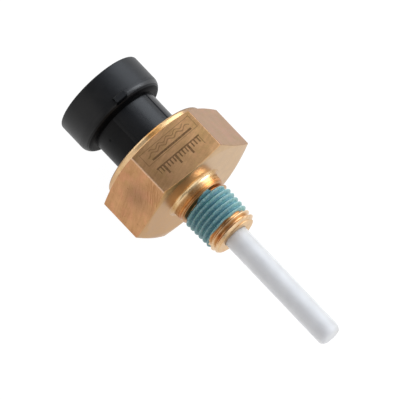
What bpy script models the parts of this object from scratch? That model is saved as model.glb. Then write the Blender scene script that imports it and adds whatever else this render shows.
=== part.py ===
"""Solid-state liquid level switch: plug-in connector, brass hex body, tapered
pipe thread and closed-end sensing probe.

Metres, +Z up.  The switch lies on one wrench flat.  Its axis runs along +X,
from the connector to the probe tip, at half the hexagon's width above the
surface.  The origin is the centre of the flat that it rests on.
"""

import math

import bmesh
import bpy

MM = 0.001

# ---------------------------------------------------------------- dimensions
# All in millimetres.  X positions are counted from the middle of the hexagon.
HEX_ACROSS_FLATS = 31.75          # 1-1/4 in wrench size
HEX_FRONT_X = 6.3                 # flat front face; 12.7 mm long over its flats
HEX_FRONT_FACE_RADIUS = 15.2      # the corner cut starts here
HEX_FRONT_SLOPE = 0.2             # of the turned corner cuts, X over radius
HEX_BACK_FLAT_X = -6.55           # back end of a flat, at its middle
HEX_BACK_SLOPE = 0.27
AXIS_HEIGHT = HEX_ACROSS_FLATS / 2
HEX_CORNER_RADIUS = HEX_ACROSS_FLATS / 2 / math.cos(math.pi / 6)

COLLAR_RADIUS = 14.95
COLLAR_BACK_X = -8.65
COLLAR_EDGE_RADIUS = 0.7
LIP_THICKNESS = 1.2
LIP_INNER_RADIUS = 9.65

FLANGE_SEAT_RADIUS = 13.2
FLANGE_SEAT_STEP_X = -3.4
BOARD_BORE_RADIUS = 11.6
BOARD_BORE_FLOOR_X = 2.4
PROBE_HEAD_BORE_RADIUS = 5.6
PROBE_HEAD_BORE_FLOOR_X = 5.5
PROBE_BORE_RADIUS = 3.5

HUB_RADIUS = 6.9
HUB_FILLET_RADIUS = 0.5
HUB_END_X = 9.3
SPIGOT_END_X = 21.5
THREAD_BIG_RADIUS = 6.8           # 1/4-18 NPT crest radius at the hub
THREAD_TAPER = 1.0 / 32.0         # on the radius
THREAD_UNDER_SEALANT = 0.75       # how far the plain spigot lies under its crests
THREAD_END_CHAMFER = 0.8

SEALANT_START_X = 9.65
SEALANT_END_X = 18.7
SEALANT_FILM = 0.42

NECK_RADIUS = 9.15
SHROUD_RADIUS = 12.25
SHROUD_RIM_X = -28.7
SHROUD_BASE_X = -18.75
SHOULDER_RADIUS = 2.6
SHROUD_BORE_RADIUS = 10.4
SHROUD_FLOOR_X = -20.3
SOCKET_RADIUS = 7.4
WEB_FRONT_X = -14.8
WEB_BACK_X = -11.5
FLANGE_RADIUS = 12.9
FLANGE_BACK_X = -7.1
FLANGE_FRONT_X = -5.5
SKIRT_OUTER_RADIUS = 11.2
SKIRT_INNER_RADIUS = 10.0
SKIRT_END_X = -2.75

KEY_RIB_WIDTH = 1.6
KEY_RIB_INNER_RADIUS = 9.55
KEY_RIB_ANGLES = (90.0, 210.0, 330.0)

LUG_WIDTH = 3.4
LUG_REAR_X = -21.65
LUG_FRONT_X = -19.6
LUG_TOP_RADIUS = 13.05

NECK_GROOVE_ANGLE = 45.0
NECK_GROOVE_WIDTH = 0.5
NECK_GROOVE_DEPTH = 0.35

BLADE_PITCH = 4.6
BLADE_WIDTH = 2.8
BLADE_THICKNESS = 0.8
BLADE_TIP_X = -24.2
BLADE_SHOULDER_X = -12.6
TAIL_WIDTH = 1.2
TAIL_END_X = -0.8
BLADE_SLOT_CLEARANCE = 0.3

BOARD_RADIUS = 11.2
BOARD_BACK_X = -2.4
BOARD_FRONT_X = -1.4
BOARD_HOLE_RADIUS = 1.05
BOARD_GAP = 0.3

PROBE_RADIUS = 3.175              # 1/4 in probe
PROBE_TIP_X = 56.2
PROBE_TIP_EDGE = 1.4
PROBE_BORE_INNER_RADIUS = 1.95
PROBE_BORE_END_X = 54.2
PROBE_HEAD_RADIUS = 5.3
PROBE_HEAD_X = (2.5, 3.8)
ELECTRODE_RADIUS = 1.6
ELECTRODE_END_X = 53.8
ELECTRODE_HEAD_RADIUS = 2.4
ELECTRODE_HEAD_X = (1.4, 2.1)
CLAMP_RING_X = (1.0, 2.1)
CLAMP_RING_RADII = (2.9, 9.0)
GROUND_RING_RADII = (10.3, 11.2)
SPRING_WIRE_RADIUS = 0.2
SPRING_COIL_RADIUS = 1.45
SPRING_TURNS = 3

# ------------------------------------------------------------------- scene
for old in list(bpy.data.objects):
    bpy.data.objects.remove(old, do_unlink=True)

parts = bpy.data.collections.new("liquid_level_switch")
cutters = bpy.data.collections.new("cutters")
bpy.context.scene.collection.children.link(parts)
bpy.context.scene.collection.children.link(cutters)

switch = bpy.data.objects.new("switch_axis", None)
switch.location = (0.0, 0.0, AXIS_HEIGHT * MM)
switch.empty_display_size = 0.01
parts.objects.link(switch)


# ----------------------------------------------------------------- helpers
def material(name, colour, roughness, metallic=0.0):
    mat = bpy.data.materials.new(name)
    mat.use_nodes = True
    shader = mat.node_tree.nodes["Principled BSDF"]
    shader.inputs["Base Color"].default_value = (*colour, 1.0)
    shader.inputs["Roughness"].default_value = roughness
    shader.inputs["Metallic"].default_value = metallic
    return mat


def place(obj, mat=None, cutter=False):
    """Parent an object to the switch's axis and file it as a part or a cutter."""
    for coll in list(obj.users_collection):
        coll.objects.unlink(obj)
    (cutters if cutter else parts).objects.link(obj)
    obj.parent = switch
    if mat is not None:
        obj.data.materials.clear()
        obj.data.materials.append(mat)
    if cutter:
        obj.hide_render = True
        obj.display_type = "WIRE"
    return obj


def arc(cx, cr, radius, start, end, steps):
    """Points (x, r) on an arc; the angle is counted from +X towards +r."""
    out = []
    for i in range(steps + 1):
        a = math.radians(start + (end - start) * i / steps)
        out.append((cx + radius * math.cos(a), cr + radius * math.sin(a)))
    return out


def turned(name, profile, mat=None, steps=64, closed=False, cutter=False):
    """A solid of revolution about the switch's axis.

    profile holds (x, r) points in mm, from the +X end down the outer side.
    """
    mesh = bpy.data.meshes.new(name)
    verts = [(r * MM, 0.0, x * MM) for x, r in profile]
    edges = [(i, i + 1) for i in range(len(verts) - 1)]
    if closed:
        edges.append((len(verts) - 1, 0))
    mesh.from_pydata(verts, edges, [])
    obj = bpy.data.objects.new(name, mesh)
    obj.rotation_euler = (0.0, math.pi / 2, 0.0)
    place(obj, mat, cutter)
    screw = obj.modifiers.new("turn", "SCREW")
    screw.axis = "Z"
    screw.angle = math.tau
    screw.steps = steps
    screw.render_steps = steps
    screw.use_merge_vertices = True
    screw.merge_threshold = 0.00001
    screw.use_smooth_shade = True
    return obj


def box(name, size, centre, mat=None, rotation_x=0.0, cutter=False, bevel=0.0):
    """A block; size and centre are (x, y, z) in mm from the switch's axis."""
    bm = bmesh.new()
    bmesh.ops.create_cube(bm, size=1.0)
    bmesh.ops.scale(bm, vec=[s * MM for s in size], verts=bm.verts)
    mesh = bpy.data.meshes.new(name)
    bm.to_mesh(mesh)
    bm.free()
    obj = bpy.data.objects.new(name, mesh)
    a = math.radians(rotation_x)
    x, y, z = (c * MM for c in centre)
    obj.location = (x, y * math.cos(a) - z * math.sin(a), y * math.sin(a) + z * math.cos(a))
    obj.rotation_euler = (a, 0.0, 0.0)
    place(obj, mat, cutter)
    if bevel:
        mod = obj.modifiers.new("edges", "BEVEL")
        mod.width = bevel * MM
        mod.segments = 2
        mod.limit_method = "ANGLE"
    return obj


def rod(name, radius, x_low, x_high, y, z, mat=None, segments=32, cutter=False, bevel=0.0):
    """A straight round bar along X."""
    bm = bmesh.new()
    bmesh.ops.create_cone(bm, cap_ends=True, segments=segments, radius1=radius * MM,
                          radius2=radius * MM, depth=(x_high - x_low) * MM)
    mesh = bpy.data.meshes.new(name)
    bm.to_mesh(mesh)
    bm.free()
    obj = bpy.data.objects.new(name, mesh)
    obj.location = ((x_low + x_high) / 2 * MM, y * MM, z * MM)
    obj.rotation_euler = (0.0, math.pi / 2, 0.0)
    place(obj, mat, cutter)
    if bevel:
        mod = obj.modifiers.new("edges", "BEVEL")
        mod.width = bevel * MM
        mod.segments = 2
        mod.limit_method = "ANGLE"
    mesh.shade_smooth()
    mesh.set_sharp_from_angle(angle=math.radians(35))
    return obj


def cut(obj, tool, operation="DIFFERENCE"):
    mod = obj.modifiers.new(operation.lower() + "_" + tool.name, "BOOLEAN")
    mod.operation = operation
    mod.solver = "EXACT"
    mod.object = tool


def ring(name, major, minor, x, mat, major_segments=44, minor_segments=10):
    bpy.ops.mesh.primitive_torus_add(major_radius=major * MM, minor_radius=minor * MM,
                                     major_segments=major_segments,
                                     minor_segments=minor_segments)
    obj = bpy.context.object
    obj.name = name
    obj.data.name = name
    obj.location = (x * MM, 0.0, 0.0)
    obj.rotation_euler = (0.0, math.pi / 2, 0.0)
    obj.data.shade_smooth()
    return place(obj, mat)


# --------------------------------------------------------------- materials
brass = material("brass", (0.62, 0.42, 0.22), 0.32, 1.0)
black_plastic = material("black_plastic", (0.022, 0.023, 0.026), 0.38)
white_plastic = material("white_plastic", (0.82, 0.81, 0.86), 0.34)
sealant_film = material("sealant_film", (0.12, 0.31, 0.34), 0.55)
seal_rubber = material("seal_rubber", (0.03, 0.03, 0.03), 0.6)
tinned_blade = material("tinned_blade", (0.72, 0.72, 0.7), 0.3, 1.0)
board_green = material("board_green", (0.03, 0.16, 0.07), 0.45)
chip_black = material("chip_black", (0.03, 0.03, 0.03), 0.5)
ceramic_tan = material("ceramic_tan", (0.45, 0.33, 0.2), 0.5)
steel_bright = material("steel_bright", (0.6, 0.6, 0.6), 0.3, 1.0)
potting_black = material("potting_black", (0.05, 0.045, 0.04), 0.45)

# ---------------------------------------------------------------- hex body
# A hexagonal bar, corners towards +Y and -Y.  Shallow turned cones cut its
# corners back at both ends.
HEX_BAR_BACK_X = -7.4
hex_bm = bmesh.new()
bmesh.ops.create_cone(hex_bm, cap_ends=True, segments=6,
                      radius1=HEX_CORNER_RADIUS * MM, radius2=HEX_CORNER_RADIUS * MM,
                      depth=(HEX_FRONT_X + 0.5 - HEX_BAR_BACK_X) * MM)
hex_mesh = bpy.data.meshes.new("hex_body")
hex_bm.to_mesh(hex_mesh)
hex_bm.free()
# create_cone starts its corners on local +Y, which stays +Y after the turn below.
hex_body = bpy.data.objects.new("hex_body", hex_mesh)
hex_body.location = ((HEX_FRONT_X + 0.5 + HEX_BAR_BACK_X) / 2 * MM, 0.0, 0.0)
hex_body.rotation_euler = (0.0, math.pi / 2, 0.0)
place(hex_body, brass)


def hex_front_x(r):
    """Front end of the bar at radius r, in the turned corner cut."""
    return HEX_FRONT_X - max(0.0, r - HEX_FRONT_FACE_RADIUS) * HEX_FRONT_SLOPE


def hex_back_x(r):
    """Back end of the bar at radius r, in the turned corner cut."""
    return HEX_BACK_FLAT_X + (r - HEX_ACROSS_FLATS / 2) * HEX_BACK_SLOPE


barrel_radius = HEX_CORNER_RADIUS + 0.5
corner_barrel = turned("corner_barrel", [
    (HEX_FRONT_X, 0.0),
    (HEX_FRONT_X, HEX_FRONT_FACE_RADIUS),
    (hex_front_x(barrel_radius), barrel_radius),
    (hex_back_x(barrel_radius), barrel_radius),
    (hex_back_x(COLLAR_RADIUS - 1.0), COLLAR_RADIUS - 1.0),
    (hex_back_x(COLLAR_RADIUS - 1.0), 0.0),
], steps=72, cutter=True)


def crest_radius(x):
    return THREAD_BIG_RADIUS - (x - HUB_END_X) * THREAD_TAPER


def spigot_radius(x):
    return crest_radius(x) - THREAD_UNDER_SEALANT


land = SEALANT_END_X + 0.35
turned_core = turned("turned_core", [
    (SPIGOT_END_X, 0.0),
    (SPIGOT_END_X, crest_radius(SPIGOT_END_X) - THREAD_END_CHAMFER),
    (SPIGOT_END_X - THREAD_END_CHAMFER, crest_radius(SPIGOT_END_X)),
    (land, crest_radius(land)),
    (land, spigot_radius(land)),
    (HUB_END_X, spigot_radius(HUB_END_X)),
    (HUB_END_X, HUB_RADIUS - 0.35),
    (HUB_END_X - 0.35, HUB_RADIUS),
] + arc(HEX_FRONT_X + HUB_FILLET_RADIUS, HUB_RADIUS + HUB_FILLET_RADIUS,
        HUB_FILLET_RADIUS, 270, 180, 3) + [
    (HEX_FRONT_X - 1.0, HUB_RADIUS + HUB_FILLET_RADIUS),
    (HEX_BACK_FLAT_X + 1.5, HUB_RADIUS + HUB_FILLET_RADIUS),
    (HEX_BACK_FLAT_X + 1.5, COLLAR_RADIUS),
] + arc(COLLAR_BACK_X + COLLAR_EDGE_RADIUS, COLLAR_RADIUS - COLLAR_EDGE_RADIUS,
        COLLAR_EDGE_RADIUS, 90, 180, 4) + [
    (COLLAR_BACK_X, 0.0),
], steps=60, cutter=True)

body_cavity = turned("body_cavity", [
    (SPIGOT_END_X + 1.0, 0.0),
    (SPIGOT_END_X + 1.0, PROBE_BORE_RADIUS),
    (PROBE_HEAD_BORE_FLOOR_X, PROBE_BORE_RADIUS),
    (PROBE_HEAD_BORE_FLOOR_X, PROBE_HEAD_BORE_RADIUS),
    (BOARD_BORE_FLOOR_X, PROBE_HEAD_BORE_RADIUS),
    (BOARD_BORE_FLOOR_X, BOARD_BORE_RADIUS),
    (FLANGE_SEAT_STEP_X, BOARD_BORE_RADIUS),
    (FLANGE_SEAT_STEP_X, FLANGE_SEAT_RADIUS),
    (COLLAR_BACK_X + LIP_THICKNESS, FLANGE_SEAT_RADIUS),
    (COLLAR_BACK_X + LIP_THICKNESS, LIP_INNER_RADIUS + 0.25),
    (COLLAR_BACK_X + LIP_THICKNESS - 0.25, LIP_INNER_RADIUS),
    (COLLAR_BACK_X + 0.3, LIP_INNER_RADIUS),
    (COLLAR_BACK_X - 1.0, LIP_INNER_RADIUS + 1.3),
    (COLLAR_BACK_X - 1.0, 0.0),
], steps=60, cutter=True)

cut(hex_body, corner_barrel, "INTERSECT")
cut(hex_body, turned_core, "UNION")
cut(hex_body, body_cavity)

# ---------------------------------------------------------- thread sealant
inner_gap = 0.3
thread_sealant = turned("thread_sealant", [
    (SEALANT_END_X, spigot_radius(SEALANT_END_X) + inner_gap + SEALANT_FILM - 0.12),
    (SEALANT_END_X - 0.3, spigot_radius(SEALANT_END_X) + inner_gap + SEALANT_FILM),
    (SEALANT_START_X + 0.3, spigot_radius(SEALANT_START_X) + inner_gap + SEALANT_FILM),
    (SEALANT_START_X, spigot_radius(SEALANT_START_X) + inner_gap + SEALANT_FILM - 0.12),
    (SEALANT_START_X, spigot_radius(SEALANT_START_X) + inner_gap),
    (SEALANT_END_X, spigot_radius(SEALANT_END_X) + inner_gap),
], sealant_film, steps=48, closed=True)

# ------------------------------------------------------- connector housing
rim_edge = 0.45
connector_housing = turned("connector_housing", [
    (SKIRT_END_X, 0.0),
    (SKIRT_END_X, SKIRT_OUTER_RADIUS),
    (FLANGE_FRONT_X, SKIRT_OUTER_RADIUS),
    (FLANGE_FRONT_X, FLANGE_RADIUS),
    (FLANGE_BACK_X, FLANGE_RADIUS),
    (FLANGE_BACK_X, NECK_RADIUS),
    (SHROUD_BASE_X, NECK_RADIUS),
] + arc(SHROUD_BASE_X - SHOULDER_RADIUS, SHROUD_RADIUS - SHOULDER_RADIUS,
        SHOULDER_RADIUS, 0, 90, 8) + arc(
    SHROUD_RIM_X + rim_edge, SHROUD_RADIUS - rim_edge, rim_edge, 90, 180, 3) + arc(
    SHROUD_RIM_X + 0.35, SHROUD_BORE_RADIUS + 0.35, 0.35, 180, 270, 2) + [
    (SHROUD_FLOOR_X, SHROUD_BORE_RADIUS),
    (SHROUD_FLOOR_X, SOCKET_RADIUS),
    (WEB_FRONT_X, SOCKET_RADIUS),
    (WEB_FRONT_X, 0.0),
], black_plastic, steps=60)

back_cavity = turned("back_cavity", [
    (SKIRT_END_X + 1.0, 0.0),
    (SKIRT_END_X + 1.0, SKIRT_INNER_RADIUS),
    (FLANGE_FRONT_X + 0.35, SKIRT_INNER_RADIUS),
    (FLANGE_FRONT_X + 0.35, SOCKET_RADIUS),
    (WEB_BACK_X, SOCKET_RADIUS),
    (WEB_BACK_X, 0.0),
], steps=48, cutter=True)

for number, angle in enumerate(KEY_RIB_ANGLES, start=1):
    rib_outer = SHROUD_BORE_RADIUS + 0.8
    rib = box("key_rib_%d" % number,
              (SHROUD_FLOOR_X - SHROUD_RIM_X - 0.2, KEY_RIB_WIDTH,
               rib_outer - KEY_RIB_INNER_RADIUS),
              ((SHROUD_FLOOR_X + SHROUD_RIM_X) / 2 + 0.7, 0.0,
               (rib_outer + KEY_RIB_INNER_RADIUS) / 2),
              rotation_x=angle - 90.0, cutter=True)
    cut(connector_housing, rib, "UNION")

# Latch lug on top of the shroud, where its shoulder begins.
lug_bm = bmesh.new()
bmesh.ops.create_cube(lug_bm, size=1.0)
bmesh.ops.scale(lug_bm, vec=((LUG_FRONT_X - LUG_REAR_X) * MM, LUG_WIDTH * MM,
                             (LUG_TOP_RADIUS - 10.9) * MM), verts=lug_bm.verts)
for v in lug_bm.verts:
    if v.co.z > 0 and v.co.x < 0:
        v.co.x += 0.35 * MM
lug_mesh = bpy.data.meshes.new("latch_lug")
lug_bm.to_mesh(lug_mesh)
lug_bm.free()
latch_lug = bpy.data.objects.new("latch_lug", lug_mesh)
latch_lug.location = ((LUG_FRONT_X + LUG_REAR_X) / 2 * MM, 0.0,
                      (LUG_TOP_RADIUS + 10.9) / 2 * MM)
place(latch_lug, cutter=True)
cut(connector_housing, latch_lug, "UNION")

neck_groove = box("neck_groove",
                  (FLANGE_BACK_X - SHROUD_BASE_X - 0.4, NECK_GROOVE_WIDTH,
                   2 * NECK_GROOVE_DEPTH),
                  ((FLANGE_BACK_X + SHROUD_BASE_X) / 2, 0.0, NECK_RADIUS),
                  rotation_x=NECK_GROOVE_ANGLE - 90.0, cutter=True)
cut(connector_housing, neck_groove)
cut(connector_housing, back_cavity)
for number in range(3):
    slot = box("web_slot_%d" % (number + 1),
               (WEB_BACK_X - WEB_FRONT_X + 2.0, BLADE_WIDTH + 2 * BLADE_SLOT_CLEARANCE,
                BLADE_THICKNESS + 2 * BLADE_SLOT_CLEARANCE),
               ((WEB_BACK_X + WEB_FRONT_X) / 2, (number - 1) * BLADE_PITCH, 0.0),
               cutter=True)
    cut(connector_housing, slot)

# --------------------------------------------------------------- terminals
for number in range(3):
    curve = bpy.data.curves.new("terminal_%d" % (number + 1), "CURVE")
    curve.dimensions = "2D"
    curve.fill_mode = "BOTH"
    curve.extrude = BLADE_THICKNESS / 2 * MM
    half, tail = BLADE_WIDTH / 2, TAIL_WIDTH / 2
    outline = [
        (BLADE_TIP_X, -half + 0.75), (BLADE_TIP_X + 1.1, -half),
        (BLADE_SHOULDER_X, -half), (BLADE_SHOULDER_X + 0.5, -tail),
        (TAIL_END_X - 0.3, -tail), (TAIL_END_X, -tail + 0.25),
        (TAIL_END_X, tail - 0.25), (TAIL_END_X - 0.3, tail),
        (BLADE_SHOULDER_X + 0.5, tail), (BLADE_SHOULDER_X, half),
        (BLADE_TIP_X + 1.1, half), (BLADE_TIP_X, half - 0.75),
    ]
    spline = curve.splines.new("POLY")
    spline.points.add(len(outline) - 1)
    for point, (x, y) in zip(spline.points, outline):
        point.co = (x * MM, y * MM, 0.0, 1.0)
    spline.use_cyclic_u = True
    terminal = bpy.data.objects.new("terminal_%d" % (number + 1), curve)
    terminal.location = (0.0, (number - 1) * BLADE_PITCH * MM, 0.0)
    place(terminal, tinned_blade)

# ------------------------------------------------- seals and probe hardware
ring("housing_seal", 12.2, 0.65, (FLANGE_FRONT_X + FLANGE_SEAT_STEP_X) / 2, seal_rubber)
ring("probe_seal", 4.3, 0.5, 4.65, seal_rubber, major_segments=32)

tip = PROBE_TIP_X
probe_sheath = turned("probe_sheath", [
    (tip, 0.0),
] + arc(tip - PROBE_TIP_EDGE, PROBE_RADIUS - PROBE_TIP_EDGE, PROBE_TIP_EDGE, 0, 90, 5) + [
    (PROBE_HEAD_X[1], PROBE_RADIUS),
    (PROBE_HEAD_X[1], PROBE_HEAD_RADIUS),
    (PROBE_HEAD_X[0], PROBE_HEAD_RADIUS),
    (PROBE_HEAD_X[0], PROBE_BORE_INNER_RADIUS),
    (PROBE_BORE_END_X - 0.6, PROBE_BORE_INNER_RADIUS),
    (PROBE_BORE_END_X, PROBE_BORE_INNER_RADIUS - 0.6),
    (PROBE_BORE_END_X, 0.0),
], white_plastic, steps=32)

electrode_rod = turned("electrode_rod", [
    (ELECTRODE_END_X, 0.0),
    (ELECTRODE_END_X, ELECTRODE_RADIUS - 0.35),
    (ELECTRODE_END_X - 0.35, ELECTRODE_RADIUS),
    (ELECTRODE_HEAD_X[1], ELECTRODE_RADIUS),
    (ELECTRODE_HEAD_X[1], ELECTRODE_HEAD_RADIUS),
    (ELECTRODE_HEAD_X[0], ELECTRODE_HEAD_RADIUS),
    (ELECTRODE_HEAD_X[0], 0.0),
], steel_bright, steps=20)

probe_clamp_ring = turned("probe_clamp_ring", [
    (CLAMP_RING_X[1], CLAMP_RING_RADII[1]),
    (CLAMP_RING_X[0] + 0.2, CLAMP_RING_RADII[1]),
    (CLAMP_RING_X[0], CLAMP_RING_RADII[1] - 0.2),
    (CLAMP_RING_X[0], CLAMP_RING_RADII[0]),
    (CLAMP_RING_X[1], CLAMP_RING_RADII[0]),
], steel_bright, steps=40, closed=True)

ground_ring = turned("ground_ring", [
    (BOARD_BORE_FLOOR_X - 0.3, GROUND_RING_RADII[1]),
    (BOARD_FRONT_X + BOARD_GAP, GROUND_RING_RADII[1]),
    (BOARD_FRONT_X + BOARD_GAP, GROUND_RING_RADII[0]),
    (BOARD_BORE_FLOOR_X - 0.3, GROUND_RING_RADII[0]),
], brass, steps=44, closed=True)

spring_curve = bpy.data.curves.new("contact_spring", "CURVE")
spring_curve.dimensions = "3D"
spring_curve.bevel_depth = SPRING_WIRE_RADIUS * MM
spring_curve.bevel_resolution = 2
spring_curve.use_fill_caps = True
spring_low = BOARD_FRONT_X + BOARD_GAP + SPRING_WIRE_RADIUS
spring_high = ELECTRODE_HEAD_X[0] - BOARD_GAP - SPRING_WIRE_RADIUS
coil = spring_curve.splines.new("POLY")
count = SPRING_TURNS * 10
coil.points.add(count)
for i, point in enumerate(coil.points):
    a = math.tau * SPRING_TURNS * i / count
    point.co = ((spring_low + (spring_high - spring_low) * i / count) * MM,
                SPRING_COIL_RADIUS * math.cos(a) * MM,
                SPRING_COIL_RADIUS * math.sin(a) * MM, 1.0)
contact_spring = bpy.data.objects.new("contact_spring", spring_curve)
place(contact_spring, steel_bright)

# ------------------------------------------------------------ circuit board
circuit_board = rod("circuit_board", BOARD_RADIUS, BOARD_BACK_X, BOARD_FRONT_X, 0, 0,
                    board_green, segments=48)
for number in range(3):
    hole = rod("board_hole_%d" % (number + 1), BOARD_HOLE_RADIUS, BOARD_BACK_X - 1,
               BOARD_FRONT_X + 1, (number - 1) * BLADE_PITCH, 0, segments=16, cutter=True)
    cut(circuit_board, hole)

component_x = BOARD_FRONT_X + BOARD_GAP


def component(name, size, y, z, mat, bevel=0.12):
    return box(name, size, (component_x + size[0] / 2, y, z), mat, bevel=bevel)


component("ic_chip", (1.4, 5.0, 4.0), 0.0, 5.2, chip_black)
component("transistor", (1.0, 2.6, 1.5), -5.6, 4.4, chip_black)
component("filter_capacitor", (1.5, 3.2, 2.4), 5.6, 5.2, ceramic_tan)
component("timing_capacitor", (1.1, 2.0, 1.25), 0.0, -3.4, ceramic_tan)
component("resistor_1", (0.6, 2.0, 1.25), -4.2, -5.0, chip_black)
component("resistor_2", (0.6, 2.0, 1.25), 4.2, -5.0, chip_black)
rod("protection_diode", 0.75, component_x, component_x + 1.5, 0.0, -7.4, chip_black,
    segments=16, bevel=0.12)

# ---------------------------------------------------------------- potting
potting_compound = turned("potting_compound", [
    (SKIRT_END_X, 0.0),
    (SKIRT_END_X, SKIRT_INNER_RADIUS - 0.3),
    (FLANGE_FRONT_X + 0.65, SKIRT_INNER_RADIUS - 0.3),
    (FLANGE_FRONT_X + 0.65, SOCKET_RADIUS - 0.3),
    (WEB_BACK_X + 0.3, SOCKET_RADIUS - 0.3),
    (WEB_BACK_X + 0.3, 0.0),
], potting_black, steps=40)
for number in range(3):
    slot = box("potting_slot_%d" % (number + 1),
               (SKIRT_END_X - WEB_BACK_X + 2.0, TAIL_WIDTH + 0.6, BLADE_THICKNESS + 0.6),
               ((SKIRT_END_X + WEB_BACK_X) / 2, (number - 1) * BLADE_PITCH, 0.0),
               cutter=True)
    cut(potting_compound, slot)
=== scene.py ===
"""Looks of the liquid level switch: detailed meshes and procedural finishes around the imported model."""

import math

import bmesh
import bpy
import numpy as np
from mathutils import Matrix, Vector, noise


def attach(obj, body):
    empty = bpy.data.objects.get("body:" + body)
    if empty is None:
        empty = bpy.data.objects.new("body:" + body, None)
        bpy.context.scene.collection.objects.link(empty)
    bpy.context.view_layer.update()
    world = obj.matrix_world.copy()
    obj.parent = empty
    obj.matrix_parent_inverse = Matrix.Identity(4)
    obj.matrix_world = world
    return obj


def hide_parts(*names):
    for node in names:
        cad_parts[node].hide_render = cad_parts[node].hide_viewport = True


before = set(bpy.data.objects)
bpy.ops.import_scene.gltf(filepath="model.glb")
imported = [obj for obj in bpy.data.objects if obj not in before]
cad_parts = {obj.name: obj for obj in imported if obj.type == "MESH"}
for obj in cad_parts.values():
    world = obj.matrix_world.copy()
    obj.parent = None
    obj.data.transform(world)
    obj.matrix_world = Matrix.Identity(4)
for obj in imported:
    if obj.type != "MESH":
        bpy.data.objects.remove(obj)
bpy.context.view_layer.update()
scene = bpy.context.scene

MM = 0.001
AXIS_Z = 15.875                    # mm, height of the switch's axis

# ------------------------------------------------------------------ sizes, mm
FLAT = 15.875                      # half the hexagon's width
HEX_FRONT_X, HEX_FACE_R, FRONT_SLOPE = 6.3, 15.2, 0.2
BACK_FLAT_X, BACK_SLOPE = -6.72, 0.27
HEX_EDGE = 0.3                     # rounding of the long edges
COLLAR_R, COLLAR_X, COLLAR_EDGE = 14.78, -8.65, 0.75
COLLAR_DRAW = 0.03                 # how far crimping has drawn in the collar's back end
LIP_R = 9.65
HUB_R, HUB_END = 6.9, 8.9
END_X = 21.5
PITCH = 1.411
CREST_R, TAPER, TAPER_X = 6.8, 1.0 / 32.0, 9.3
THREAD_DEPTH = 1.0
CREST_X0 = 10.56                   # a crest's place at angle 0
PROBE_R, TIP_X, TIP_EDGE = 3.175, 56.2, 1.4
NECK_R, SHROUD_R, RIM_X, BASE_X, SHOULDER = 9.13, 12.25, -28.7, -18.95, 2.5
BORE_R, FLOOR_X, SOCKET_R, WEB_X = 10.4, -20.3, 7.4, -14.8
LUG_HALF, LUG_REAR, LUG_FRONT, LUG_TOP = 1.7, -21.65, -19.6, 13.05
GROOVE_ANGLE, GROOVE_HALF, GROOVE_DEPTH = 45.0, 0.42, 0.24


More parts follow.
